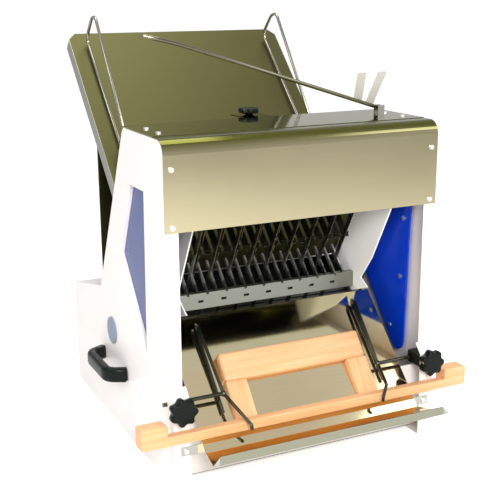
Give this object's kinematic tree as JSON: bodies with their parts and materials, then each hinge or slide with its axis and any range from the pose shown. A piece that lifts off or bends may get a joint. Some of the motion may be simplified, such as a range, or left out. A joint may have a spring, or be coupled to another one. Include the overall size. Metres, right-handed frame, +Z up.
{
  "type": "bread slicer machine",
  "caption": "Countertop bread slicer with a sloping infeed chute, two reciprocating blade frames, slotted combs and a polished discharge slide with a wooden loaf rest.",
  "frame": {"origin": "middle of the outline on the floor", "axes": "+X to the right seen from the discharge side, +Y towards the infeed chute, +Z up"},
  "size_m": [0.746, 0.8308, 0.8855],
  "materials": {
    "white_paint": "satin white powder coat",
    "polished_steel": "mirror polished stainless steel",
    "blue_acrylic": "clear blue acrylic",
    "screw_steel": "bright steel",
    "grey_steel": "plain steel",
    "comb_metal": "bright aluminium",
    "frame_metal": "bare aluminium",
    "blade_steel": "ground steel",
    "beech": "oiled beech",
    "black_plastic": "black moulded plastic",
    "disc_plastic": "blue grey plastic",
    "motor_paint": "grey blue enamel",
    "cast_part": "painted casting",
    "belt_rubber": "black rubber",
    "green_plastic": "green moulded plastic",
    "red_plastic": "red moulded plastic",
    "chrome_wire": "bright plated wire"
  },
  "bodies": {
    "machine": {"left_side_panel": "white_paint", "right_side_panel": "white_paint", "rear_cover": "white_paint", "lower_front_panel": "white_paint", "left_cheek": "white_paint", "right_cheek": "white_paint", "front_cover": "polished_steel", "top_plate": "polished_steel", "infeed_chute": "polished_steel", "discharge_slide": "polished_steel", "left_window": "blue_acrylic", "right_window": "blue_acrylic", "window_screws": "screw_steel", "cover_screws": "screw_steel", "base_pan": "grey_steel", "rear_guard": "grey_steel", "chute_brackets": "grey_steel", "guide_cross_rod": "grey_steel", "cheek_spacers": "grey_steel", "frame_rods": "grey_steel", "throat_guard": "grey_steel", "arm_bracket": "grey_steel", "lower_comb": "comb_metal", "rod_blocks": "frame_metal", "comb_bushes": "frame_metal", "rest_bar": "beech", "rest_top_rail": "beech", "left_rest_rail": "beech", "right_rest_rail": "beech", "left_handle": "black_plastic", "right_handle": "black_plastic", "cable_gland": "black_plastic", "switch_box": "black_plastic", "clamp_blocks": "black_plastic", "side_disc": "disc_plastic", "motor_housing": "motor_paint", "shaft_bearings": "cast_part", "motor_cradle": "cast_part", "drive_belt": "belt_rubber"},
    "front_frame": {"front_blade_frame": "frame_metal", "front_blades": "blade_steel"},
    "rear_frame": {"rear_blade_frame": "frame_metal", "rear_blades": "blade_steel"},
    "crank": {"crankshaft": "grey_steel", "crank_pulley": "frame_metal"},
    "motor_rotor": {"motor_shaft": "grey_steel", "motor_pulley": "frame_metal"},
    "front_link_pair": {"front_links": "frame_metal"},
    "rear_link_pair": {"rear_links": "frame_metal"},
    "press": {"press_comb": "comb_metal"},
    "left_outlet_guide": {"left_discharge_guide": "chrome_wire"},
    "right_outlet_guide": {"right_discharge_guide": "chrome_wire"},
    "left_star": {"left_star_knob": "black_plastic"},
    "right_star": {"right_star_knob": "black_plastic"},
    "left_inlet_guide": {"left_infeed_guide": "chrome_wire"},
    "right_inlet_guide": {"right_infeed_guide": "chrome_wire"},
    "rear_knob": {"guard_knob": "black_plastic"},
    "arm": {"hold_down_arm": "chrome_wire"},
    "start": {"start_button": "green_plastic"},
    "stop": {"stop_button": "red_plastic"}
  },
  "joints": [
    {"name": "front_frame_stroke", "type": "slide", "parent": "machine", "child": "front_frame", "axis": [0, -0.5, 0.866], "range_m": [-0.008, 0.008]},
    {"name": "rear_frame_stroke", "type": "slide", "parent": "machine", "child": "rear_frame", "axis": [0, -0.5, 0.866], "range_m": [-0.008, 0.008]},
    {"name": "crank_turn", "type": "hinge", "parent": "machine", "child": "crank", "pos_m": [0, 0.03774, 0.148], "axis": [1, 0, 0], "continuous": true},
    {"name": "motor_turn", "type": "hinge", "parent": "machine", "child": "motor_rotor", "pos_m": [0, 0.23074, 0.11], "axis": [1, 0, 0], "continuous": true},
    {"name": "front_link_turn", "type": "hinge", "parent": "crank", "child": "front_link_pair", "pos_m": [0, 0.03081, 0.144], "axis": [1, 0, 0], "continuous": true},
    {"name": "rear_link_turn", "type": "hinge", "parent": "crank", "child": "rear_link_pair", "pos_m": [0, 0.04467, 0.152], "axis": [1, 0, 0], "continuous": true},
    {"name": "press_height", "type": "slide", "parent": "machine", "child": "press", "axis": [0, -0.5, 0.866], "range_m": [0, 0.04]},
    {"name": "left_outlet_width", "type": "slide", "parent": "machine", "child": "left_outlet_guide", "axis": [-1, 0, 0], "range_m": [0, 0.05]},
    {"name": "right_outlet_width", "type": "slide", "parent": "machine", "child": "right_outlet_guide", "axis": [1, 0, 0], "range_m": [0, 0.05]},
    {"name": "left_star_turn", "type": "hinge", "parent": "machine", "child": "left_star", "pos_m": [-0.285, -0.31926, 0.168], "axis": [0, -1, 0], "continuous": true},
    {"name": "right_star_turn", "type": "hinge", "parent": "machine", "child": "right_star", "pos_m": [0.285, -0.31926, 0.168], "axis": [0, -1, 0], "continuous": true},
    {"name": "left_inlet_width", "type": "slide", "parent": "machine", "child": "left_inlet_guide", "axis": [1, 0, 0], "range_m": [0, 0.06]},
    {"name": "right_inlet_width", "type": "slide", "parent": "machine", "child": "right_inlet_guide", "axis": [-1, 0, 0], "range_m": [0, 0.06]},
    {"name": "rear_knob_turn", "type": "hinge", "parent": "machine", "child": "rear_knob", "pos_m": [0, -0.02426, 0.69], "axis": [0, 0, 1], "continuous": true},
    {"name": "arm_swing", "type": "hinge", "parent": "machine", "child": "arm", "pos_m": [0.255, -0.13926, 0.6926], "axis": [0, 1, 0], "range_deg": [-15, 25]},
    {"name": "start_push", "type": "slide", "parent": "machine", "child": "start", "axis": [-1, 0, 0], "range_m": [0, 0.004], "stiffness_N_per_m": 600},
    {"name": "stop_push", "type": "slide", "parent": "machine", "child": "stop", "axis": [-1, 0, 0], "range_m": [0, 0.004], "stiffness_N_per_m": 600}
  ],
  "couplings": [
    {"joint": "rear_frame_stroke", "follows": "front_frame_stroke", "ratio": -1},
    {"joint": "motor_turn", "follows": "crank_turn", "ratio": 2.3438},
    {"joint": "front_link_turn", "follows": "crank_turn", "ratio": -1},
    {"joint": "rear_link_turn", "follows": "crank_turn", "ratio": -1}
  ]
}
